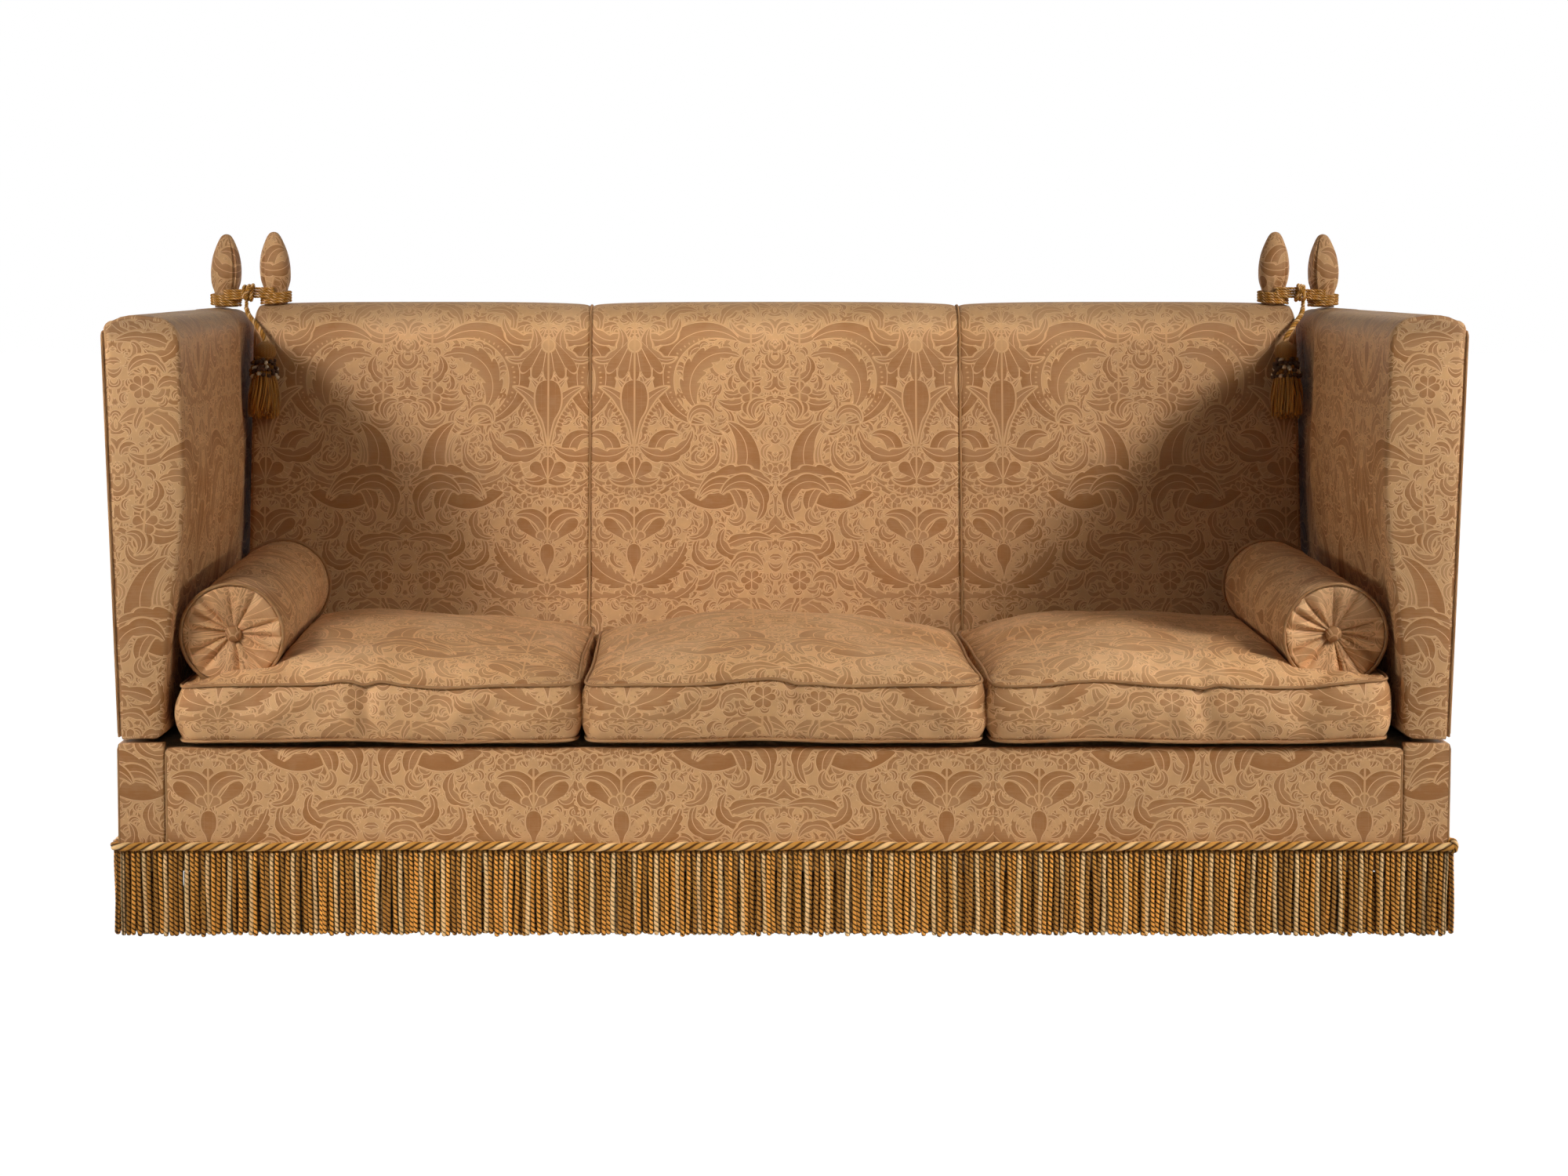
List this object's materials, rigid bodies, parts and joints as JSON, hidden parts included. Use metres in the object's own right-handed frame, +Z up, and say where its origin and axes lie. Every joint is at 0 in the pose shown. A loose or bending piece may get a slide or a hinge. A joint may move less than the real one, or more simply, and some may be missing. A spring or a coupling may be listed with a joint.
{
  "type": "knole sofa",
  "caption": "High-sided damask sofa with hinged drop arms tied to the back by tasselled cords round finials, loose seat cushions, round bolsters and a bullion fringe.",
  "frame": {"origin": "centre of the footprint on the floor, midway between the arms and midway between front and rear", "axes": "+Z up, +X to the right of someone who looks at the front, and the seat faces -Y"},
  "size_m": [2.269, 0.9476, 1.194],
  "materials": {
    "damask": "woven damask, straw ground with copper-brown figures",
    "beech": "planed, unfinished, hidden",
    "hessian": "plain coarse weave, hidden",
    "jute_webbing": "plain woven webbing, hidden",
    "hinge_steel": "plain",
    "gold_cord": "twisted silky cord, gold with cream strands",
    "gold_bullion": "twisted bullion cords, matt gold",
    "tassel_gold": "silky gold threads",
    "walnut_feet": "stained, waxed"
  },
  "bodies": {
    "frame": {"front_rail": "beech", "rear_rail": "beech", "left_side_rail": "beech", "right_side_rail": "beech", "seat_webbing": "jute_webbing", "sprung_seat_block": "hessian", "seat_deck": "hessian", "left_front_foot": "walnut_feet", "middle_front_foot": "walnut_feet", "right_front_foot": "walnut_feet", "left_rear_foot": "walnut_feet", "middle_rear_foot": "walnut_feet", "right_rear_foot": "walnut_feet", "front_border": "damask", "left_base_cover": "damask", "right_base_cover": "damask", "outside_back_panel": "damask", "back_top_rail": "beech", "left_back_post": "beech", "right_back_post": "beech", "left_back_panel": "damask", "middle_back_panel": "damask", "right_back_panel": "damask", "left_back_finial": "damask", "right_back_finial": "damask", "left_back_cord": "gold_cord", "right_back_cord": "gold_cord", "fringe_heading_rope": "gold_cord", "bullion_fringe": "gold_bullion", "left_hinge_base_leaf": "hinge_steel", "right_hinge_base_leaf": "hinge_steel"},
    "left_arm": {"left_arm_front_post": "beech", "left_arm_rear_post": "beech", "left_arm_bottom_rail": "beech", "left_arm_top_rail": "beech", "left_arm_cover": "damask", "left_arm_outside_panel": "damask", "left_arm_finial": "damask", "left_arm_cord": "gold_cord", "left_hinge_arm_leaf": "hinge_steel"},
    "right_arm": {"right_arm_front_post": "beech", "right_arm_rear_post": "beech", "right_arm_bottom_rail": "beech", "right_arm_top_rail": "beech", "right_arm_cover": "damask", "right_arm_outside_panel": "damask", "right_arm_finial": "damask", "right_arm_cord": "gold_cord", "right_hinge_arm_leaf": "hinge_steel"},
    "left_cushion": {"left_seat_cushion": "damask"},
    "middle_cushion": {"middle_seat_cushion": "damask"},
    "right_cushion": {"right_seat_cushion": "damask"},
    "left_bolster_roll": {"left_bolster": "damask", "left_bolster_button": "damask"},
    "right_bolster_roll": {"right_bolster": "damask", "right_bolster_button": "damask"},
    "left_tie_tassel": {"left_tassel_cord": "gold_cord", "left_tassel": "tassel_gold"},
    "right_tie_tassel": {"right_tassel_cord": "gold_cord", "right_tassel": "tassel_gold"}
  },
  "joints": [
    {"name": "left_arm_drop", "type": "hinge", "parent": "frame", "child": "left_arm", "pos_m": [-1.112, 0, 0.333], "axis": [0, -1, 0], "range_deg": [0, 85]},
    {"name": "right_arm_drop", "type": "hinge", "parent": "frame", "child": "right_arm", "pos_m": [1.112, 0, 0.333], "axis": [0, 1, 0], "range_deg": [0, 85]},
    {"name": "left_cushion_lift", "type": "slide", "parent": "frame", "child": "left_cushion", "axis": [0, -0.9945, 0.1045], "range_m": [0, 0.25]},
    {"name": "middle_cushion_lift", "type": "slide", "parent": "frame", "child": "middle_cushion", "axis": [0, -0.9945, 0.1045], "range_m": [0, 0.25]},
    {"name": "right_cushion_lift", "type": "slide", "parent": "frame", "child": "right_cushion", "axis": [0, -0.9945, 0.1045], "range_m": [0, 0.25]},
    {"name": "left_bolster_lift", "type": "slide", "parent": "left_cushion", "child": "left_bolster_roll", "axis": [0.342, 0, 0.9397], "range_m": [0, 0.25]},
    {"name": "right_bolster_lift", "type": "slide", "parent": "right_cushion", "child": "right_bolster_roll", "axis": [-0.342, 0, 0.9397], "range_m": [0, 0.25]},
    {"name": "left_tassel_swing", "type": "hinge", "parent": "frame", "child": "left_tie_tassel", "pos_m": [-1.032, 0.3546, 1.0491], "axis": [-1, 0, 0], "range_deg": [0, 30]},
    {"name": "right_tassel_swing", "type": "hinge", "parent": "frame", "child": "right_tie_tassel", "pos_m": [1.032, 0.3546, 1.0491], "axis": [-1, 0, 0], "range_deg": [0, 30]}
  ]
}
